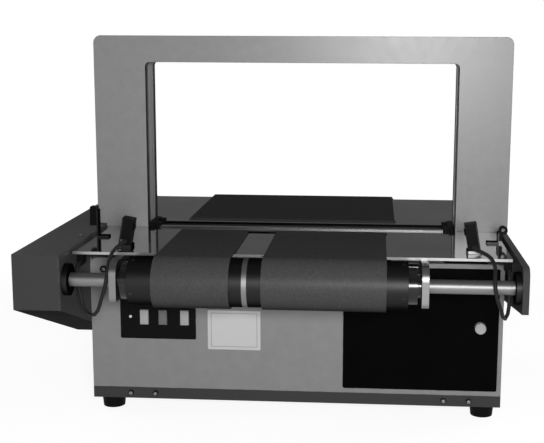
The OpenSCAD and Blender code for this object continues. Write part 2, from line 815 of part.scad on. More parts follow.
module slot_guides() color("black") place() for (s = [0, 1]) mirror([s, 0, 0]) {
    span([arch_x - guide_end - guide_w, arch_x - guide_end],
        [slot_front - guide_over, slot_rear + guide_over], [table_h, table_h + guide_rise]);
    for (y = [slot_front, slot_rear - guide_w])
        span([arch_x - guide_end - 2 * guide_w, arch_x - guide_end - guide_w + eps], [y, y + guide_w],
            [deck_top, table_h + guide_rise - tongue_drop]);
}

module arch_half() {
    xz(0, arch_sheet) difference() {
        arch_outline();
        arch_opening();
    }
    xz(0, arch_t / 2) difference() {
        arch_outline();
        arch_outline(arch_sheet, eps);
    }
    xz(0, arch_lip) difference() {
        arch_opening(arch_sheet, 0);
        arch_opening();
    }
}

module arch_front_cover() color("darkgray") place() arch_half();

module arch_rear_cover() color("darkgray") place() translate([0, arch_t, 0]) mirror([0, 1, 0]) arch_half();

module arch_track() color("gainsboro") place() {
    xz(arch_lip, arch_t - arch_lip) difference() {
        arch_opening(track_d, 0);
        arch_opening(track_d - track_wall);
    }
    for (y = [arch_lip, arch_t - arch_lip - track_wall]) xz(y, y + track_wall) difference() {
        arch_opening(track_d, 0);
        arch_opening();
    }
    for (y = [arch_lip, arch_t - arch_lip - track_lip]) xz(y, y + track_lip) difference() {
        arch_opening(track_wall, 0);
        arch_opening();
    }
}

module arch_feet() color("dimgray") place() for (s = [0, 1]) mirror([s, 0, 0]) {
    x0 = arch_x + track_d + anchor_gap;
    x1 = arch_x + cab_margin - anchor_in;
    span([x0, x1], [slot_front + edge_gap, slot_rear - edge_gap], [deck_top, table_h]);
    difference() {
        span([x0, x1], [arch_sheet, arch_t - arch_sheet], [table_h, table_h + anchor_h]);
        span([x0 + anchor_wall, x1 - anchor_wall],
            [arch_sheet + anchor_wall, arch_t - arch_sheet - anchor_wall],
            [table_h + anchor_wall, table_h + anchor_h + eps]);
    }
}

// Front conveyor
module arm_outline() {
    translate([arm_front + arm_top_r, arm_bottom])
        square([arm_back - arm_front - arm_top_r, deck_top - arm_bottom]);
    translate([arm_front, arm_bottom + arm_low_r])
        square([arm_top_r, deck_top - arm_bottom - arm_low_r - arm_top_r]);
    translate([arm_front + arm_low_r, arm_bottom]) square([arm_top_r - arm_low_r, arm_low_r]);
    translate([arm_front + arm_top_r, deck_top - arm_top_r]) circle(arm_top_r);
    translate([arm_front + arm_low_r, arm_bottom + arm_low_r]) circle(arm_low_r);
}

module bearing_plates() color("lightgray") place() for (x = [arm_left_x - arm_t, arm_right_x])
    yz(x, x + arm_t) difference() {
        arm_outline();
        translate([drum_y, drum_z]) circle(d = bearing_d + 2 * seat_fit);
        translate([snub_y, snub_z]) circle(d = journal_d + 2 * shaft_fit);
    }

module bearing(x0, x1, y, z, bore, outer) difference() {
    bar_x(x0, x1, y, z, outer);
    bar_x(x0 - eps, x1 + eps, y, z, bore + 2 * shaft_fit);
}

module shaft_bearings() color("black") place() {
    for (x = [arm_left_x - arm_t, arm_right_x]) bearing(x, x + arm_t, drum_y, drum_z, shaft_d, bearing_d);
    bearing(-cab_x, -cab_x + flange_t, drum_y, drum_z, shaft_d, flange_d);
    bearing(side_x - flange_t, side_x, drum_y, drum_z, shaft_d, flange_d);
    bearing(-cab_x, -cab_x + flange_t, rear_y, rear_z, rear_shaft_d, rear_flange_d);
    bearing(side_x - flange_t, side_x, rear_y, rear_z, rear_shaft_d, rear_flange_d);
}

module front_shaft() color("whitesmoke") place()
    bar_x(shaft_end, side_x + side_plate_t - shaft_sunk, drum_y, drum_z, shaft_d);

// A hollow drum with an end wall at each end
module drum(x0, x1) difference() {
    bar_x(x0, x1, drum_y, drum_z, drum_d);
    difference() {
        bar_x(x0 + drum_end_t, x1 - drum_end_t, drum_y, drum_z, drum_d - 2 * drum_wall);
        bar_x(x0, x1, drum_y, drum_z, drum_core_d);
    }
    bar_x(x0 - eps, x1 + eps, drum_y, drum_z, shaft_d + 2 * seat_fit);
    for (x = [drum_x0 + set_screw_in, drum_x1 - set_screw_in])
        screw_holes(x, set_screw_d + 2 * seat_fit, drum_r - set_screw_len);
}

// Radial holes or screws near a drum's end
module screw_holes(x, d, from) for (a = set_screw_turns) translate([x, drum_y, drum_z])
    rotate([a, 0, 0]) translate([0, 0, from]) cylinder(d = d, h = drum_r - from + eps);

module front_drum_left() color("dimgray") place() drum(drum_x0, spacer_x);
module front_drum_right() color("dimgray") place() drum(spacer_x + spacer_w, drum_x1);

module drum_spacer() color("whitesmoke") place() difference() {
    bar_x(spacer_x, spacer_x + spacer_w, drum_y, drum_z, drum_d);
    bar_x(spacer_x - eps, spacer_x + spacer_w + eps, drum_y, drum_z, shaft_d + 2 * seat_fit);
}

// A stepped hub, its wide end at the drum
module hub(len) difference() {
    union() {
        rotate([0, 90, 0]) cylinder(d = hub_wide_d, h = len - hub_neck);
        rotate([0, 90, 0]) cylinder(d = hub_neck_d, h = len);
    }
    translate([-eps, 0, 0]) rotate([0, 90, 0]) cylinder(d = shaft_d + 2 * seat_fit, h = len + 2 * eps);
}

module drum_hubs() color("gray") place() {
    translate([drum_x0, drum_y, drum_z]) mirror([1, 0, 0]) hub(hub_left_len);
    translate([drum_x1, drum_y, drum_z]) hub(hub_right_len);
}

module set_screws() color("silver") place() for (x = [drum_x0 + set_screw_in, drum_x1 - set_screw_in])
    intersection() {
        screw_holes(x, set_screw_d, drum_r - set_screw_len);
        bar_x(x - set_screw_d, x + set_screw_d, drum_y, drum_z, drum_d - 2 * set_screw_sunk);
    }

module front_loop(x0, x1) yz(x0, x1) loop([
    [drum_y, drum_z, drum_r, 1], [snub_y, snub_z, snub_r, -1], [front_nose_y, nose_z, nose_r, 1]], belt_t);

module front_belt_left() color("darkslategray") place()
    front_loop(belt_left_x - belt_left_w / 2, belt_left_x + belt_left_w / 2);
module front_belt_right() color("darkslategray") place()
    front_loop(belt_right_x - belt_right_w / 2, belt_right_x + belt_right_w / 2);

// A roller whose journals reach into the bores at both sides
module roller(x, y, z, d, reach) {
    bar_x(x[0], x[1], y, z, d);
    bar_x(x[0] - reach, x[1] + reach, y, z, journal_d);
}

module front_nose_roller() color("silver") place()
    roller(front_nose_x, front_nose_y, nose_z, nose_d, roller_side_gap + lug_t);
module rear_nose_roller() color("silver") place()
    roller(rear_nose_x, rear_nose_y, nose_z, nose_d, roller_side_gap + lug_t);
module return_roller() color("silver") place()
    roller([arm_left_x + roller_side_gap, arm_right_x - roller_side_gap], snub_y, snub_z, snub_d,
        roller_side_gap + arm_t);

// Rear conveyor
module rear_roller() color("dimgray") place() {
    bar_x(rear_nose_x[0], rear_nose_x[1], rear_y, rear_z, rear_d);
    bar_x(shaft_end, side_x + side_plate_t - shaft_sunk, rear_y, rear_z, rear_shaft_d);
}

module rear_belt() color("darkslategray") place()
    yz(belt_rear_x - belt_rear_w / 2, belt_rear_x + belt_rear_w / 2)
    loop([[rear_nose_y, nose_z, nose_r, 1], [rear_y, rear_z, rear_r, 1]], belt_t);

// Drive
module post_notch(margin) span([-arch_out - post_gap - margin, -cab_x + eps],
    [-post_gap - margin, arch_t + post_gap + margin], [table_h - post_gap - margin, housing_top + eps]);

module drive_housing() color("dimgray") place() difference() {
    difference() {
        yz(housing_x, back_x) polygon(housing_profile);
        post_notch(0);
    }
    difference() {
        yz(housing_x + housing_sheet, back_x + eps) polygon(drawn_in(housing_profile, housing_sheet));
        post_notch(housing_sheet);
    }
}

module housing_back_plate() color("dimgray") place() difference() {
    yz(back_x, -cab_x) polygon(housing_profile);
    post_notch(0);
    bar_x(back_x - eps, -cab_x + eps, drum_y, drum_z, shaft_d + 2 * shaft_hole_gap);
    bar_x(back_x - eps, -cab_x + eps, rear_y, rear_z, rear_shaft_d + 2 * shaft_hole_gap);
    bar_x(back_x - eps, -cab_x + eps, motor_y, motor_z, motor_hole_d);
}

module side_outline() difference() {
    polygon([
        [housing_front, side_low], [0, side_floor], [cab_rear - boss_in, side_floor],
        [housing_rear, side_low], [housing_rear, side_top], [housing_front, side_top]
    ]);
    difference() {
        translate([housing_front - eps, side_top - side_r]) square([side_r + eps, side_r + eps]);
        translate([housing_front + side_r, side_top - side_r]) circle(side_r);
    }
}

module side_plate_right() color("dimgray") place() difference() {
    union() {
        yz(side_x, side_x + side_plate_t) side_outline();
        for (y = boss_y) bar_x(cab_x, side_x, y, boss_z, boss_d);
    }
    bar_x(side_x - eps, side_x + side_plate_t + eps, drum_y, drum_z, shaft_d + 2 * shaft_hole_gap);
    bar_x(side_x - eps, side_x + side_plate_t + eps, rear_y, rear_z, rear_shaft_d + 2 * shaft_hole_gap);
}

module gear_motor() color("slategray") place() {
    wall_x = -cab_x + cab_sheet;
    difference() {
        union() {
            span([wall_x, wall_x + gearbox_len], [motor_y - gearbox_w / 2, motor_y + gearbox_w / 2],
                [motor_z - gearbox_w / 2, motor_z + gearbox_w / 2]);
            bar_x(wall_x + gearbox_len, wall_x + gearbox_len + motor_len, motor_y, motor_z, motor_d);
        }
        bar_x(wall_x - eps, wall_x + motor_seat, motor_y, motor_z, motor_shaft_d + 2 * shaft_fit);
    }
}

// A flanged pulley in the plane of the drive belt
module pulley(y, z, d, bore) difference() {
    union() {
        bar_x(pulley_x - pulley_w / 2, pulley_x + pulley_w / 2, y, z, d);
        for (x = [pulley_x - pulley_w / 2, pulley_x + pulley_w / 2 - pulley_rim_t])
            bar_x(x, x + pulley_rim_t, y, z, d + 2 * pulley_rim);
    }
    bar_x(pulley_x - pulley_w, pulley_x + pulley_w, y, z, bore + 2 * seat_fit);
}

module front_pulley() color("silver") place() pulley(drum_y, drum_z, front_pulley_d, shaft_d);
module rear_pulley() color("silver") place() pulley(rear_y, rear_z, rear_pulley_d, rear_shaft_d);
module motor_pulley() color("silver") place() {
    pulley(motor_y, motor_z, motor_pulley_d, 0);
    bar_x(shaft_end, -cab_x + cab_sheet + motor_seat - motor_seat_gap, motor_y, motor_z, motor_shaft_d);
}

module drive_belt() color("black") place() yz(pulley_x - drive_belt_w / 2, pulley_x + drive_belt_w / 2) loop([
    [drum_y, drum_z, front_pulley_d / 2, 1], [motor_y, motor_z, motor_pulley_d / 2, 1],
    [rear_y, rear_z, rear_pulley_d / 2, 1]], drive_belt_t);

// Strap unit
module reel_hub() color("gainsboro") place() difference() {
    union() {
        bar_y(reel_x, strap_y - strap_w / 2 - reel_over, strap_y + strap_w / 2, reel_z, reel_core_d);
        bar_y(reel_x, strap_y + strap_w / 2, strap_y + strap_w / 2 + reel_flange_t, reel_z, reel_flange_d);
    }
    bar_y(reel_x, strap_y - strap_w, plate_y, reel_z, spindle_d + 2 * shaft_fit);
}

module feed_roller() color("dimgray") place() {
    bar_y(feed_x, strap_y - strap_w / 2 + feed_side, strap_y + strap_w / 2 - feed_side, feed_z, feed_d);
    bar_y(feed_x, strap_y - strap_w / 2, plate_y + plate_t + motor_bite, feed_z, feed_shaft_d);
}

module pinch_roller() color("dimgray") place() difference() {
    bar_y(feed_x, strap_y - strap_w / 2 + feed_side, strap_y + strap_w / 2 - feed_side, pinch_z, pinch_d);
    bar_y(feed_x, strap_y - strap_w, plate_y, pinch_z, journal_d + 2 * shaft_fit);
}

module seal_frame() color("slategray") place() difference() {
    union() {
        for (s = [0, 1]) mirror([s, 0, 0])
            span([seal_x - seal_wall, seal_x], [strap_y - seal_depth, plate_y], [seal_low, seal_top]);
        span([-seal_x, seal_x], [strap_y - seal_depth, plate_y], [seal_top - guide_h, seal_top]);
    }
    press_block(slide_gap, [seal_top - guide_h - eps, seal_top + eps]);
    bar_x(-seal_x - eps, seal_x + eps, strap_y, cam_z, cam_shaft_d + 2 * shaft_fit);
}

module press_block(margin, z) span([-press_w / 2 - margin, press_w / 2 + margin],
    [strap_y - strap_w / 2 + press_side - margin, strap_y + strap_w / 2 - press_side + margin], z);

// A cam whose radius grows evenly with the turn
function cam_point(a) = (cam_base_r + press_lift * min(max(a, 0), cam_turn) / cam_turn) * [sin(a), cos(a)];
module cam_shaft() color("silver") place() {
    bar_x(-seal_x - motor_bite, seal_x, strap_y, cam_z, cam_shaft_d);
    translate([0, strap_y, cam_z]) yz(-cam_t / 2, cam_t / 2)
        polygon([for (a = [-cam_dwell:cam_step:cam_turn + cam_after]) cam_point(a)]);
}

module press_head() color("lightgray") place() {
    press_block(0, [seal_top - guide_h - press_foot, press_top]);
    span([-press_stem / 2, press_stem / 2], [strap_y - press_stem / 2, strap_y + press_stem / 2],
        [cam_z + cam_base_r + cam_gap, seal_top - guide_h - press_foot]);
}

// One of the two small gear motors, its face at the origin and its body behind it
module small_motor(bore) difference() {
    union() {
        translate([-small_gear_w / 2, -small_gear_w / 2, 0])
            cube([small_gear_w, small_gear_w, small_gear_len]);
        cylinder(d = small_motor_d, h = small_motor_len);
    }
    translate([0, 0, -eps]) cylinder(d = bore + 2 * shaft_fit, h = motor_bite + 2 * eps);
}

module small_motors() color("slategray") place() {
    translate([feed_x, plate_y + plate_t, feed_z]) rotate([-90, 0, 0]) small_motor(feed_shaft_d);
    translate([-seal_x, strap_y, cam_z]) rotate([0, -90, 0]) small_motor(cam_shaft_d);
}

// Photo sensors: each leans toward the middle of the table on its bracket
module sensor_frame(s) translate([s[0], s[1], table_h]) mirror([s[2] > 0 ? 0 : 1, 0, 0]) children();
module leaning(floor) difference() {
    translate([0, 0, sensor_lift]) rotate([0, -sensor_lean, 0]) children();
    translate([-sensor_h, -sensor_h, floor - sensor_h]) cube([3 * sensor_h, 2 * sensor_h, sensor_h]);
}

// The rear pair's angle brackets stand upright at the table's edges
module rear_bracket(h) {
    span([rear_post_x - rear_foot, rear_body_x], rear_post_y, [table_h, table_h + rear_foot_t]);
    span([rear_post_x, rear_body_x], rear_post_y, [table_h, table_h + h]);
}

module sensor_brackets() color("silver") place() {
    for (s = sensors) sensor_frame(s) {
        translate([-bracket_t, -bracket_base / 2, 0])
            cube([sensor_w + bracket_t + bracket_over, bracket_base, sensor_lift]);
        leaning(sensor_lift / 2) translate([sensor_w, -bracket_upright / 2, -sensor_root])
            cube([bracket_t, bracket_upright, sensor_h + sensor_root]);
    }
    mirror([1, 0, 0]) rear_bracket(rear_post_h);
    rear_bracket(ring_post_h);
}

// The rear left sensor is a narrow box, the rear right one a ring on a short stem
module rear_box() mirror([1, 0, 0]) span([rear_body_x, rear_body_x + rear_body[0]], rear_post_y,
    [table_h + rear_body_rise, table_h + rear_body_rise + rear_body[1]]);
module rear_ring() {
    ring_x = rear_body_x + ring_d / 2;
    middle = -sensor_rear_y;
    difference() {
        union() {
            bar_y(ring_x, middle - ring_t / 2, middle + ring_t / 2, table_h + ring_rise, ring_d);
            span([rear_body_x, rear_body_x + ring_stem[0]], rear_post_y,
                [table_h + ring_stem[1], table_h + ring_rise]);
        }
        bar_y(ring_x, middle - ring_t, middle + ring_t, table_h + ring_rise, ring_bore);
    }
}

module photo_sensors() color("black") place() {
    for (s = sensors) sensor_frame(s) leaning(sensor_lift) {
        translate([0, -sensor_d / 2, -sensor_root]) cube([sensor_w, sensor_d, sensor_h + sensor_root]);
        translate([-sensor_lens_out, 0, sensor_h - sensor_lens_drop]) rotate([0, 90, 0])
            cylinder(d = sensor_lens_d, h = 2 * sensor_lens_out);
    }
    rear_box();
    rear_ring();
}

module sensor_cable_left() color("black") place() tube(left_route, cable_d);
module sensor_cable_right() color("black") place() tube(right_route, cable_d);

base_rail();
rubber_feet();
rail_bolts();
cabinet_shell();
front_panel();
rear_panel();
deck_rails();
lead_clips();
mechanism_plate();
window_door();
door_pull();
control_console();
power_lamp();
button_left();
button_middle();
button_right();
control_box();
mains_gland();
table_front_plate();
table_rear_plate();
slot_strip();
slot_guides();
arch_front_cover();
arch_rear_cover();
arch_track();
arch_feet();
bearing_plates();
shaft_bearings();
front_shaft();
front_drum_left();
front_drum_right();
drum_spacer();
drum_hubs();
set_screws();
front_belt_left();
front_belt_right();
front_nose_roller();
return_roller();
rear_roller();
rear_belt();
rear_nose_roller();
drive_housing();
housing_back_plate();
side_plate_right();
gear_motor();
motor_pulley();
front_pulley();
rear_pulley();
drive_belt();
reel_hub();
feed_roller();
pinch_roller();
seal_frame();
cam_shaft();
press_head();
small_motors();
sensor_brackets();
photo_sensors();
sensor_cable_left();
sensor_cable_right();
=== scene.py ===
import json
import math

import bmesh
import bpy
from mathutils import Matrix, Vector


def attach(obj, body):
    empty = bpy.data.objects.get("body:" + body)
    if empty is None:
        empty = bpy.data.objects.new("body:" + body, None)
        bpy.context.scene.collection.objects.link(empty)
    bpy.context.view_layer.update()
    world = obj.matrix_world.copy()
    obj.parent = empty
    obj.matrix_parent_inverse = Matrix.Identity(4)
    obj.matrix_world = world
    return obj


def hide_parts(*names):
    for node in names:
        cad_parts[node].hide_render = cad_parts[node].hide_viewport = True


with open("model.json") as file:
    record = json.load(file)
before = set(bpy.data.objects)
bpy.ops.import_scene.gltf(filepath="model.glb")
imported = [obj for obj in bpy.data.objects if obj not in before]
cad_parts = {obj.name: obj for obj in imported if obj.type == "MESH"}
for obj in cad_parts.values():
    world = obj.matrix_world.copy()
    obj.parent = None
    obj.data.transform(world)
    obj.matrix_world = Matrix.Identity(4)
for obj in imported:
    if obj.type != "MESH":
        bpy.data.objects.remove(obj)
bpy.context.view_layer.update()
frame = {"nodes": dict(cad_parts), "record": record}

nodes = frame["nodes"]
scene = bpy.context.scene
scene.view_settings.view_transform = "Standard"

# The CAD source's own directions, in millimetres, start here in the shared frame
SHIFT = Vector((26.5, -51.85, 0))

# Faces and heights that pieces sit at, in the CAD source's millimetres
PANEL_Y = -110
BUTTON_Y = -115.5
CONSOLE_Z = 153
REAR_Y = 270
RAIL_FRONT_Y, RAIL_BACK_Y, RAIL_BOLT_Z = -112.9, 272.9, 29
ARCH_BACK_Y = 76
CABINET_SIDE_X = 318
RIGHT_PLATE_X = 332
SENSOR_FACE_Y = -182.5
SENSOR_FOOT_Y = -184
LEAD_Z = 286

FRONT = (0, -1, 0)
BACK = (0, 1, 0)


def place(x, y, z):
    """A spot in the CAD source's millimetres, in the shared frame's metres."""
    return (Vector((x, y, z)) + SHIFT) / 1000


# Camera
YAW, PITCH, ROLL = -0.066346, 0.167906, -0.004714
CAMERA_SPOT = (0.1455, -1.7270, 0.5760)
SENSOR_WIDTH, LENS = 36, 69.47
LENS_SHIFT = (-0.0607, -0.0042)

forward = Vector((math.sin(YAW) * math.cos(PITCH), math.cos(YAW) * math.cos(PITCH),
                  -math.sin(PITCH)))
right = Vector((math.cos(YAW), -math.sin(YAW), 0))
down = forward.cross(right)
across = right * math.cos(ROLL) + down * math.sin(ROLL)
below = down * math.cos(ROLL) - right * math.sin(ROLL)
camera = bpy.data.objects.new("camera", bpy.data.cameras.new("camera"))
scene.collection.objects.link(camera)
camera.matrix_world = Matrix.Translation(CAMERA_SPOT) @ Matrix(
    (across, -below, -forward)).transposed().to_4x4()
camera.data.sensor_width = SENSOR_WIDTH
camera.data.lens = LENS
camera.data.shift_x, camera.data.shift_y = LENS_SHIFT
scene.camera = camera


# Shader nodes
def feed(tree, socket, value):
    """Links a value that is a socket, and sets any other on the socket itself."""
    if isinstance(value, bpy.types.NodeSocket):
        tree.links.new(value, socket)
    else:
        socket.default_value = value


def add_node(tree, kind, inputs=None, **settings):
    made = tree.nodes.new(kind)
    for key, value in settings.items():
        setattr(made, key, value)
    for key, value in (inputs or {}).items():
        feed(tree, made.inputs[key], value)
    return made


class Finish:
    """A procedural material on one Principled shader, in the piece's own coordinates."""

    def __init__(self, name):
        self.material = bpy.data.materials.new(name)
        self.material.use_nodes = True
        self.tree = self.material.node_tree
        self.shader = self.tree.nodes["Principled BSDF"]
        self.where = self.add("ShaderNodeTexCoord").outputs["Object"]

    def add(self, kind, inputs=None, **settings):
        return add_node(self.tree, kind, inputs, **settings)

    def set(self, **values):
        for key, value in values.items():
            feed(self.tree, self.shader.inputs[key.replace("_", " ")], value)

    def given(self, key):
        """The socket that feeds the shader's input so far."""
        return self.shader.inputs[key].links[0].from_socket

    def noise(self, scale, detail=2.0, stretch=(1, 1, 1)):
        where = self.add("ShaderNodeMapping", {"Vector": self.where, "Scale": stretch}).outputs[0]
        return self.add("ShaderNodeTexNoise", {
            "Vector": where, "Scale": scale, "Detail": detail}).outputs["Fac"]

    def spread(self, value, low, high, start=0.3, end=0.7):
        return self.add("ShaderNodeMapRange", {
            "Value": value, "From Min": start, "From Max": end,
            "To Min": low, "To Max": high}).outputs[0]

    def math(self, operation, a, b=0.0):
        return self.add("ShaderNodeMath", {0: a, 1: b}, operation=operation).outputs[0]

    def mix(self, share, a, b):
        made = self.add("ShaderNodeMix", data_type="RGBA")
        for key, value in (("Factor", share), ("A", a), ("B", b)):
            socket = next(s for s in made.inputs if s.name == key and s.enabled)
            feed(self.tree, socket, value)
        return next(s for s in made.outputs if s.enabled)

    def axes(self, vector):
        return self.add("ShaderNodeSeparateXYZ", {0: vector}).outputs

    def toward(self, axis):
        """How far a face looks along an axis, from -1 to 1."""
        return self.axes(self.add("ShaderNodeTexCoord").outputs["Normal"])[axis]


def grey(value):
    return (value, value, value, 1)


FINE_SHARE, BROAD_SHARE = 0.45, 0.55


def finish(name, colour, vary=0.06, rough=0.5, rough_vary=0.08, metal=0.0, grain=900, blotch=7,
           bump=0.1, depth=0.0003, stretch=(1, 1, 1), edge=0.0, wear=None, specular=0.5, rim=1.0):
    """A grey with fine grain, broad blotches, soft edges and, where wear is given, rubbed ones."""
    f = Finish(name)
    fine = f.noise(grain, 3, stretch)
    broad = f.noise(blotch, 4)
    share = f.math("ADD", f.math("MULTIPLY", fine, FINE_SHARE),
                   f.math("MULTIPLY", broad, BROAD_SHARE))
    paint = f.mix(f.spread(share, 0, 1), grey(colour * (1 - vary)), grey(colour * (1 + vary)))
    bump_inputs = {"Strength": bump, "Distance": depth, "Height": fine}
    if edge:
        rounded = f.add("ShaderNodeBevel", {"Radius": edge}, samples=4).outputs[0]
        bump_inputs["Normal"] = rounded
        if wear is not None:
            flat = f.add("ShaderNodeNewGeometry").outputs["Normal"]
            turn = f.add("ShaderNodeVectorMath", {0: rounded, 1: flat},
                         operation="DOT_PRODUCT").outputs["Value"]
            worn = f.math("MULTIPLY", f.spread(turn, 1, 0, 0.8, 0.99),
                          f.spread(f.noise(60, 5), 0, 1, 0.48, 0.62))
            paint = f.mix(worn, paint, grey(wear))
    f.set(Base_Color=paint, Roughness=f.spread(share, rough - rough_vary, rough + rough_vary),
          Metallic=metal, Specular_IOR_Level=specular, Specular_Tint=grey(rim),
          Normal=f.add("ShaderNodeBump", bump_inputs).outputs[0])
    return f


# Materials
GREY_PAINT = dict(colour=0.27, vary=0.08, rough=0.36, rough_vary=0.03, grain=420, blotch=60,
                  bump=0.06, depth=0.0002, edge=0.0014, specular=0.55)
PLASTIC = dict(rough=0.42, rough_vary=0.05, grain=1400, bump=0.05, depth=0.0001, edge=0.0006,
               specular=0.35)
RUBBER = dict(vary=0.2, rough=0.6, rough_vary=0.08, grain=900, bump=0.15)
LABEL = dict(rough=0.5, rough_vary=0.05, grain=1200, bump=0.03, depth=0.0001, specular=0.3)
PLAIN_FINISHES = {
    "paint_grey": dict(GREY_PAINT, wear=0.4),
    "bright_steel": dict(colour=0.22, vary=0.06, rough=0.46, rough_vary=0.04, metal=1.0, grain=160,
                         bump=0.04, depth=0.0001, stretch=(1, 12, 12), rim=0.3),
    "plate_steel": dict(colour=0.22, vary=0.1, rough=0.38, rough_vary=0.06, metal=1.0, grain=220,
                        bump=0.08, depth=0.0001, stretch=(12, 1, 4), edge=0.0007, rim=0.5),
    "aluminium": dict(colour=0.42, vary=0.07, rough=0.36, rough_vary=0.06, metal=1.0, grain=240,
                      bump=0.07, depth=0.0001, stretch=(1, 6, 6), edge=0.0006, rim=0.6),
    # The arch's track is aluminium made darker, as painted shade inside the arch.
    "track_metal_painted_shade": dict(colour=0.22, vary=0.07, rough=0.5, rough_vary=0.06, metal=1.0, grain=240,
                        bump=0.07, depth=0.0001, stretch=(1, 6, 6), edge=0.0006, rim=0.05),
    "drum_steel": dict(colour=0.026, vary=0.12, rough=0.44, rough_vary=0.05, metal=1.0, grain=170,
                       bump=0.06, depth=0.0001, stretch=(1, 10, 10), edge=0.0005, rim=0.0),
    "hub_black": dict(colour=0.01, vary=0.12, rough=0.2, rough_vary=0.03, grain=170, bump=0.03,
                      depth=0.0001, stretch=(1, 10, 10), edge=0.0005, specular=0.35),
    "iron": dict(colour=0.13, vary=0.12, rough=0.6, rough_vary=0.08, grain=420, bump=0.3,
                 depth=0.0004, edge=0.0012, wear=0.25, specular=0.3),
    "rubber_black": dict(RUBBER, colour=0.02, specular=0.15),
    "foot_rubber": dict(RUBBER, colour=0.006, specular=0.05),
    "plastic_black": dict(colour=0.004, vary=0.15, rough=0.5, rough_vary=0.08, grain=1500,
                          bump=0.12, depth=0.0002, edge=0.0006, specular=0.06),
    "plastic_light": dict(PLASTIC, colour=0.48, vary=0.04),
    "plastic_grey": dict(PLASTIC, colour=0.17, vary=0.05),
    "smoked": dict(colour=0.0025, vary=0.25, rough=0.12, rough_vary=0.035, grain=30, blotch=5,
                   bump=0.01, depth=0.0001, specular=0.012),
    "lamp": dict(colour=0.8, vary=0.04, rough=0.2, rough_vary=0.05, grain=700, bump=0.05,
                 depth=0.0001, specular=0.5),
    "label_white": dict(LABEL, colour=0.72, vary=0.03),
    "label_grey": dict(LABEL, colour=0.36, vary=0.05),
}


def arch_paint():
    """The cabinet's paint, with the lips that look into the arch's opening painted near-black, as
    painted shade.
    """
    opening_half, opening_top = 0.251, 0.543
    f = finish("arch_paint", **GREY_PAINT)
    spot = f.axes(f.where)
    along = f.math("ABSOLUTE", f.toward("Y"))
    off_middle = f.math("ABSOLUTE", f.math("SUBTRACT", spot["X"], SHIFT.x / 1000))
    beside = f.math("LESS_THAN", off_middle, opening_half)
    under = f.math("LESS_THAN", spot["Z"], opening_top)
    # Painted shade: lips inside the opening turn near-black, metal and rougher, so they stay dark.
    lip_painted_shade = f.math("MULTIPLY", f.math("MULTIPLY", beside, under), f.math("LESS_THAN", along, 0.5))
    rougher = f.math("ADD", f.given("Roughness"), f.math("MULTIPLY", lip_painted_shade, 0.5))
    f.set(Base_Color=f.mix(lip_painted_shade, f.given("Base Color"), grey(0.01)), Metallic=lip_painted_shade, Roughness=rougher)
    return f.material


def dark_paint():
    """Satin dark paint, with the faces that look down painted black, as painted shade under the
    parts.
    """
    f = finish("paint_dark", 0.068, vary=0.07, rough=0.5, rough_vary=0.05, grain=1100, bump=0.12,
               depth=0.0002, edge=0.0014, wear=0.16, specular=0.22, rim=0.15)
    # Painted shade: faces that look down turn near-black and metal.
    under = f.math("LESS_THAN", f.toward("Z"), -0.5)
    f.set(Base_Color=f.mix(under, f.given("Base Color"), grey(0.004)), Metallic=under)
    return f.material


def stainless_plate():
    """Polished sheet with a faint grain along X and a bright sheared edge at the front; its other
    upright faces are painted dark as shade, near black behind the slot's front edge.
    """
    slot_edge, front_edge = -0.02, -0.26
    f = finish("stainless", 0.66, vary=0.1, rough=0.075, rough_vary=0.02, metal=1.0, grain=150,
               blotch=14, bump=0.03, depth=0.0001, stretch=(0.12, 9, 9), rim=0.9)
    upright = f.math("LESS_THAN", f.math("ABSOLUTE", f.toward("Z")), 0.5)
    depth = f.axes(f.where)["Y"]
    # Painted shade: upright faces round the slot are dark, near black behind its front edge.
    inner = f.mix(f.math("LESS_THAN", depth, slot_edge), grey(0.004), grey(0.05))
    sheared = f.mix(f.math("LESS_THAN", depth, front_edge), inner, grey(0.4))
    rougher = f.math("ADD", f.given("Roughness"), f.math("MULTIPLY", upright, 0.25))
    f.set(Base_Color=f.mix(upright, f.given("Base Color"), sheared), Roughness=rougher)
    return f.material


def belt_cloth(name, shade):
    """A fine pebbled belt cover with a few paler scuffs along its travel."""
    grain = 620.0
    f = finish(name, shade, vary=0.22, rough=0.4, rough_vary=0.05, metal=0.12, grain=grain,
               blotch=340, bump=0.16, depth=0.0003, specular=0.0, rim=0.0)
    pebble = f.add("ShaderNodeTexVoronoi", {"Vector": f.where, "Scale": grain}).outputs["Distance"]
    bump = f.given("Normal").node
    feed(f.tree, bump.inputs["Height"], f.math("ADD", f.noise(1500, 3), pebble))
    scuff = f.spread(f.noise(420, 4, (1, 0.05, 0.05)), 0, 0.35, 0.62, 0.8)
    f.set(Base_Color=f.mix(scuff, f.given("Base Color"), grey(0.14)))
    return f.material


looks = {name: finish(name, **values).material for name, values in PLAIN_FINISHES.items()}
looks["arch_paint"] = arch_paint()
looks["paint_dark"] = dark_paint()
looks["stainless"] = stainless_plate()
looks["belt_black"] = belt_cloth("belt_black", 0.079)
# The rear belt is the same cloth made darker, as painted shade.
looks["belt_rear_painted_shade"] = belt_cloth("belt_rear_painted_shade", 0.058)

# A node looks as its material slot says, apart from these
OTHER_LOOKS = {
    "drum_hubs": "hub_black", "set_screws": "hub_black", "rubber_feet": "foot_rubber",
    "front_nose_roller": "drum_steel", "rear_nose_roller": "drum_steel",
    "return_roller": "drum_steel", "mechanism_plate": "drum_steel", "arch_track": "track_metal_painted_shade",
    "rear_belt": "belt_rear_painted_shade", "arch_front_cover": "arch_paint", "arch_rear_cover": "arch_paint",
}
for part in frame["record"]["subparts"]:
    worn_by = nodes[part["node"]].data.materials
    worn_by.clear()
    worn_by.append(looks[OTHER_LOOKS.get(part["node"], part["material_slot"])])


# Sensor leads
LEAD_DIAMETER = 0.0055


def ride_piece(name, data, look, body):
    made = bpy.data.objects.new(name, data)
    scene.collection.objects.link(made)
    made.data.materials.append(looks[look])
    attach(made, body)
    return made


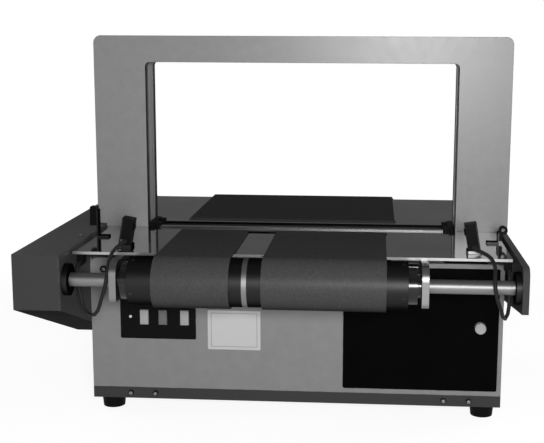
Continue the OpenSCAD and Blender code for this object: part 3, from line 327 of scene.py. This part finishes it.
def lead(name, node, points):
    """A sensor lead along the route of its CAD cable."""
    curve = bpy.data.curves.new(name, "CURVE")
    curve.dimensions = "3D"
    curve.bevel_depth = LEAD_DIAMETER / 2
    curve.bevel_resolution = 4
    curve.use_fill_caps = True
    line = curve.splines.new("POLY")
    line.points.add(len(points) - 1)
    spots = [place(*p) for p in points]
    for at, spot in zip(line.points, spots):
        at.co = (*spot, 1)
    line.use_smooth = True
    made = ride_piece(name, curve, "rubber_black", "frame")
    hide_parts(node)


lead("sensor_lead_left", "sensor_cable_left", [
    (-245, -182.5, 286), (-245, -188.5, 286), (-245, -194.5, 286), (-247, -204, 284.5),
    (-250.5, -213.5, 281.5), (-253.5, -223, 277), (-255, -232, 271), (-255, -241, 264.5),
    (-254.5, -249.5, 256.5), (-254.5, -255.5, 247), (-256, -258.5, 236.5), (-259, -257.5, 226),
    (-263, -255, 216.5), (-266.5, -251.5, 206.5), (-270.5, -248.5, 197), (-276, -244.5, 190.5),
    (-283, -239.5, 188), (-290, -234.5, 190), (-295.5, -230.5, 196), (-299, -228, 205.5),
    (-301.5, -227, 216), (-303.5, -226, 227), (-304.5, -226, 237), (-305, -226, 246),
    (-305, -224.4, 252), (-305, -220, 256.4), (-305, -214, 258), (-305, -211, 258),
    (-305, -208, 258)])
lead("sensor_lead_right", "sensor_cable_right", [
    (263, -182.5, 286), (263, -188.5, 286), (263, -194.5, 286), (266, -203, 285),
    (272, -210, 283.5), (279, -216, 281), (284.5, -223, 277), (287.5, -232, 271.5),
    (288, -241.5, 265.5), (287, -250, 258), (286.5, -256, 249), (287.5, -258.5, 238.5),
    (290, -257.5, 228), (293.5, -256, 218.5), (297, -252.4, 209.5), (299.5, -247.5, 200.5),
    (304, -239, 195.5), (308.5, -230.5, 200.5), (310.3, -226, 210), (310.3, -226, 220.5),
    (310.2, -226, 231), (310, -226, 239), (310, -226, 246), (310, -224.4, 252),
    (310, -220, 256.4), (310, -214, 258), (310, -211, 258), (310, -208, 258)])


# Forms, each as points in metres and faces
def mesh_of(name, points, faces, smooth=False):
    mesh = bpy.data.meshes.new(name)
    mesh.from_pydata(points, [], faces)
    mesh.validate()
    bm = bmesh.new()
    bm.from_mesh(mesh)
    bmesh.ops.recalc_face_normals(bm, faces=bm.faces)
    bm.to_mesh(mesh)
    bm.free()
    for polygon in mesh.polygons:
        polygon.use_smooth = smooth
    return mesh


def skin(count, layers):
    """Faces of a closed tube of layers, each a ring of count points, with both ends shut."""
    faces = []
    for i in range(layers - 1):
        for k in range(count):
            j = (k + 1) % count
            faces.append((i * count + k, i * count + j, (i + 1) * count + j, (i + 1) * count + k))
    faces.append(tuple(range(count)))
    faces.append(tuple((layers - 1) * count + k for k in range(count)))
    return faces


def turned(rings, sides=32):
    """A turned form along +Z from [(radius, height), ...] in metres."""
    points = []
    for r, h in rings:
        for k in range(sides):
            a = 2 * math.pi * k / sides
            points.append((r * math.cos(a), r * math.sin(a), h))
    return points, skin(sides, len(rings))


def screw_head(radius, height, socket):
    """A domed head with a round socket, in millimetres."""
    r, h, s = radius / 1000, height / 1000, socket / 1000
    return turned([(r, 0), (r, h * 0.35), (r * 0.93, h * 0.65), (r * 0.76, h * 0.9), (s * 1.08, h),
                   (s, h * 0.97), (s * 0.9, h * 0.35), (s * 0.2, h * 0.25)], 24)


def slab(x0, x1, z0, z1, thick, corner, crown=0.0, steps=5):
    """A thin upright slab in X and Z, its back at Y 0, in millimetres.

    It has round corners and a soft front edge, and a crown makes its face bulge.
    """
    ring = []
    for cx, cz, start in ((x1 - corner, z1 - corner, 0), (x0 + corner, z1 - corner, 90),
                          (x0 + corner, z0 + corner, 180), (x1 - corner, z0 + corner, 270)):
        for k in range(steps + 1):
            a = math.radians(start + 90 * k / steps)
            ring.append((cx, cz, corner * math.cos(a), corner * math.sin(a)))
    soft = min(0.35 * thick, 0.45 * corner)
    levels = [(0, 0), (0, -thick + soft), (soft * 0.3, -thick + soft * 0.3), (soft, -thick)]
    points = []
    for inset, y in levels:
        k = (corner - inset) / corner
        points += [(cx + ox * k, y, cz + oz * k) for cx, cz, ox, oz in ring]
    bulges = ((0.55, 0.75), (0.2, 0.97)) if crown else ()
    mx, mz = (x0 + x1) / 2, (z0 + z1) / 2
    k = (corner - soft) / corner
    for part, rise in bulges:
        points += [(mx + (cx + ox * k - mx) * part, -thick - crown * rise,
                    mz + (cz + oz * k - mz) * part) for cx, cz, ox, oz in ring]
    return [Vector(p) / 1000 for p in points], skin(len(ring), len(levels) + len(bulges))


def frame_line(x0, x1, z0, z1, width, thick):
    """A thin upright frame line, its back at Y 0, in millimetres."""
    w = width
    outer = [(x0, z0), (x1, z0), (x1, z1), (x0, z1)]
    inner = [(x0 + w, z0 + w), (x1 - w, z0 + w), (x1 - w, z1 - w), (x0 + w, z1 - w)]
    points = [(x, y, z) for y in (0, -thick) for loop in (outer, inner) for x, z in loop]
    faces = []
    for k in range(4):
        j = (k + 1) % 4
        faces += [(k, j, j + 4, k + 4), (k + 8, j + 8, j + 12, k + 12), (k, j, j + 8, k + 8),
                  (k + 4, j + 4, j + 12, k + 12)]
    return [Vector(p) / 1000 for p in points], faces


def louvre(x0, x1, z, tall, deep, steps=16, arc=8):
    """A pressed louvre along X on a face that looks to +Y, its back at Y 0, in millimetres."""
    points = []
    for i in range(steps + 1):
        u = i / steps
        swell = min(1, 0.12 + 5 * min(u, 1 - u)) ** 0.5
        for k in range(arc + 1):
            a = math.pi * k / arc
            points.append((x0 + (x1 - x0) * u, deep * swell * math.sin(a),
                           z + tall / 2 * swell * math.cos(a)))
    return [Vector(p) / 1000 for p in points], skin(arc + 1, steps + 1)


def facing(spot, axis):
    """Turns +Z to axis at a spot given in the CAD source's millimetres."""
    turn = Vector((0, 0, 1)).rotation_difference(Vector(axis))
    return Matrix.Translation(place(*spot)) @ turn.to_matrix().to_4x4()


def against(y):
    """Sets a form's back on the face at a Y given in the CAD source's millimetres."""
    return Matrix.Translation(place(0, y, 0))


def piece(name, forms, look, body="frame", smooth=True):
    """One piece of several (points, faces, matrix) forms."""
    points, faces = [], []
    for form_points, form_faces, matrix in forms:
        base = len(points)
        points += [matrix @ Vector(p) for p in form_points]
        faces += [tuple(base + i for i in face) for face in form_faces]
    ride_piece(name, mesh_of(name, points, faces, smooth), look, body)


# Heads of the base rail's bolts, and a blank plate with a border line on the front panel
piece("rail_bolt_domes", [
    (*screw_head(3.1, 1.8, 0.8), facing((x, y, RAIL_BOLT_Z), axis))
    for x in (-258.5, -219.5, 230.5, 269.5)
    for y, axis in ((RAIL_FRONT_Y, FRONT), (RAIL_BACK_Y, BACK))],
    "bright_steel")
PLATE_THICK = 0.4
piece("blank_plate", [(*slab(-135.5, -53.3, 102.5, 165, PLATE_THICK, 1.2), against(PANEL_Y))],
      "label_white", smooth=False)
piece("blank_plate_line", [
    (*frame_line(-130.5, -58.3, 107, 161, 0.9, 0.08), against(PANEL_Y - PLATE_THICK))],
    "label_grey", smooth=False)

# Button caps, lamp lens and door pull face
CAP_HALF_X, CAP_HALF_Z = 6.1, 11.1
for name, x, body, look in (("cap_left", -234, "left_button", "plastic_light"),
                            ("cap_middle", -205, "middle_button", "plastic_grey"),
                            ("cap_right", -171, "right_button", "plastic_light")):
    piece(name, [(*slab(x - CAP_HALF_X, x + CAP_HALF_X, CONSOLE_Z - CAP_HALF_Z,
                        CONSOLE_Z + CAP_HALF_Z, 0.7, 1.2, 0.35), against(BUTTON_Y))],
          look, body=body)
piece("lamp_lens", [
    (*turned([(0.0024, 0), (0.0024, 0.0006), (0.0021, 0.0013), (0.0013, 0.0018),
              (0.0004, 0.002)], 24), facing((-256, -113, CONSOLE_Z), FRONT))], "lamp")
piece("pull_face", [
    (*turned([(0.0084, 0), (0.0084, 0.0006), (0.0079, 0.0012), (0.007, 0.0013), (0.0062, 0.0011),
              (0.003, 0.0006), (0.0006, 0.0005)], 40), facing((283.5, -117.2, 146.5), FRONT))],
    "plastic_light", body="door")

# Cup washer and screw at the front panel's corner, and the screw on the drive housing
CORNER_X, CORNER_Z = -297.3, 227
piece("corner_washer", [
    (*turned([(0.0056, 0), (0.0056, 0.0008), (0.0049, 0.002), (0.0041, 0.002), (0.0036, 0.001)]),
     facing((CORNER_X, PANEL_Y, CORNER_Z), FRONT))], "plastic_black")
piece("corner_screw", [
    (*screw_head(3.2, 1.6, 1.2), facing((CORNER_X, PANEL_Y - 1, CORNER_Z), FRONT))],
    "bright_steel")
piece("housing_screw", [
    (*screw_head(4.2, 2.2, 1.6), facing((-330, -113, 280.4), (0, 0, 1)))], "bright_steel")

# Boots of the leads, and two small screws on the left front sensor
piece("lead_boots", [
    (*turned([(0.0037, 0), (0.0037, 0.002), (0.0034, 0.0025), (0.0034, 0.0035), (0.0036, 0.004),
              (0.0036, 0.0055), (0.0032, 0.006), (0.0032, 0.0075), (0.0034, 0.008),
              (0.003, 0.0105)], 28), facing((x, SENSOR_FACE_Y, LEAD_Z), FRONT))
    for x in (-245, 263)], "rubber_black")
piece("sensor_screws", [
    (*screw_head(r, 1.2, r / 3), facing((x, y, z), FRONT))
    for x, y, z, r in ((-250, SENSOR_FACE_Y, 286.6, 1.7), (-252.8, SENSOR_FOOT_Y, 277.5, 2.0))],
    "bright_steel")

# A white tag on the foot of the right front sensor
piece("foot_tag", [(*slab(255.2, 273.6, 275.4, 279.8, 0.6, 0.9), against(SENSOR_FOOT_Y))],
      "label_white", smooth=False)

# Screws of the rear panel, the cabinet's sides and the arch's rear cover
piece("panel_screws", [
    (*screw_head(4.0, 2.2, 1.6), facing(spot, axis)) for spot, axis in (
        [((x, REAR_Y, z), BACK) for x in (-300, 0, 300) for z in (52, 226)]
        + [((side * CABINET_SIDE_X, y, 54), (side, 0, 0))
           for side in (-1, 1) for y in (-78, 80, 238)]
        + [((x, ARCH_BACK_Y, z), BACK) for x in (-291.5, 291.5) for z in (335, 475)]
        + [((x, ARCH_BACK_Y, 563), BACK) for x in (-120, 120)])], "bright_steel")

# Flat bolts of the right plate, and the rear panel's louvres
piece("side_bolts", [
    (*turned([(0.007, 0), (0.0068, 0.0005), (0.006, 0.0008), (0.0032, 0.0008), (0.003, 0.0003),
              (0.0006, 0.0002)]), facing((RIGHT_PLATE_X, y, 225), (1, 0, 0)))
    for y in (-70, 60, 230)], "drum_steel")
LOUVRES, LOUVRE_PITCH = 6, 15
piece("vent_louvres", [
    (*louvre(-230, -120, 120 + LOUVRE_PITCH * i, 8, 3.2), against(REAR_Y))
    for i in range(LOUVRES)], "paint_grey")


# Floor, world and lights
def white_share(tree):
    """1 for rays that show the background itself: seen, mirrored or through glass."""
    path = tree.nodes.new("ShaderNodeLightPath").outputs
    mirrored = add_node(tree, "ShaderNodeMath", {
        0: path["Is Glossy Ray"], 1: path["Is Transmission Ray"]}, operation="MAXIMUM").outputs[0]
    return add_node(tree, "ShaderNodeMath", {
        0: path["Is Camera Ray"], 1: mirrored}, operation="MAXIMUM").outputs[0]


# Plain white behind the machine; its mirror image falls to grey overhead, and soft light stays low
RAY_LOW, RAY_HIGH = 0.05, 0.12
MIRRORED_OVERHEAD = 0.098
SOFT_LIGHT = 0.05
world = bpy.data.worlds.new("studio")
world.use_nodes = True
scene.world = world
tree = world.node_tree
ray = tree.nodes.new("ShaderNodeTexCoord").outputs["Generated"]
height = add_node(tree, "ShaderNodeSeparateXYZ", {0: ray}).outputs["Z"]
sky = add_node(tree, "ShaderNodeMapRange", {
    "Value": height, "From Min": RAY_LOW, "From Max": RAY_HIGH,
    "To Min": 1.0, "To Max": MIRRORED_OVERHEAD}).outputs[0]
seen_itself = tree.nodes.new("ShaderNodeLightPath").outputs["Is Camera Ray"]
backdrop = add_node(tree, "ShaderNodeMath", {0: sky, 1: seen_itself},
                    operation="MAXIMUM").outputs[0]
strength = add_node(tree, "ShaderNodeMapRange", {
    "Value": white_share(tree), "To Min": SOFT_LIGHT, "To Max": backdrop}).outputs[0]
background = tree.nodes["Background"].inputs
feed(tree, background["Color"], grey(1))
feed(tree, background["Strength"], strength)

# A pale floor, white at a distance, that keeps the machine's shadow
REACH = 80
NEAR, FAR = 0.8, 3.0
GLOW_NEAR, GLOW_FAR = 0.88, 1.0
floor = bpy.data.objects.new("floor", mesh_of(
    "floor", [(-REACH, -REACH, 0), (REACH, -REACH, 0), (REACH, REACH, 0), (-REACH, REACH, 0)],
    [(0, 1, 2, 3)]))
scene.collection.objects.link(floor)
pale = bpy.data.materials.new("floor")
pale.use_nodes = True
tree = pale.node_tree
tree.nodes.remove(tree.nodes["Principled BSDF"])
spot = tree.nodes.new("ShaderNodeTexCoord").outputs["Object"]
distance = add_node(tree, "ShaderNodeVectorMath", {0: spot}, operation="LENGTH").outputs["Value"]
glow = add_node(tree, "ShaderNodeMapRange", {
    "Value": distance, "From Min": NEAR, "From Max": FAR,
    "To Min": GLOW_NEAR, "To Max": GLOW_FAR}).outputs[0]
seen = add_node(tree, "ShaderNodeMath", {0: glow, 1: white_share(tree)},
                operation="MULTIPLY").outputs[0]
matte = add_node(tree, "ShaderNodeBsdfDiffuse", {"Color": grey(0.3)}).outputs[0]
lit = add_node(tree, "ShaderNodeEmission", {"Strength": seen}).outputs[0]
both = add_node(tree, "ShaderNodeAddShader", {0: matte, 1: lit}).outputs[0]
feed(tree, tree.nodes["Material Output"].inputs["Surface"], both)
floor.data.materials.append(pale)


def area(name, spot, aim, size, power):
    made = bpy.data.objects.new(name, bpy.data.lights.new(name, "AREA"))
    made.data.shape = "DISK"
    made.data.size = size
    made.data.energy = power
    made.location = spot
    made.rotation_euler = (Vector(aim) - Vector(spot)).to_track_quat("-Z", "Y").to_euler()
    scene.collection.objects.link(made)


area("key", (0.27, -1.82, 0.64), (0.08, 0.0, 0.35), 0.35, 19.6)
area("fill", (-0.75, -1.75, 0.62), (-0.1, 0.0, 0.3), 0.5, 1.0)
area("top", (0.25, -0.3, 2.4), (0.1, 0, 0.2), 2.4, 2.5)
for name, side in (("back_left", -1), ("back_right", 1)):
    area(name, (side * 2.2, 1.5, 1.6), (0, 0.05, 0.3), 2.6, 17)
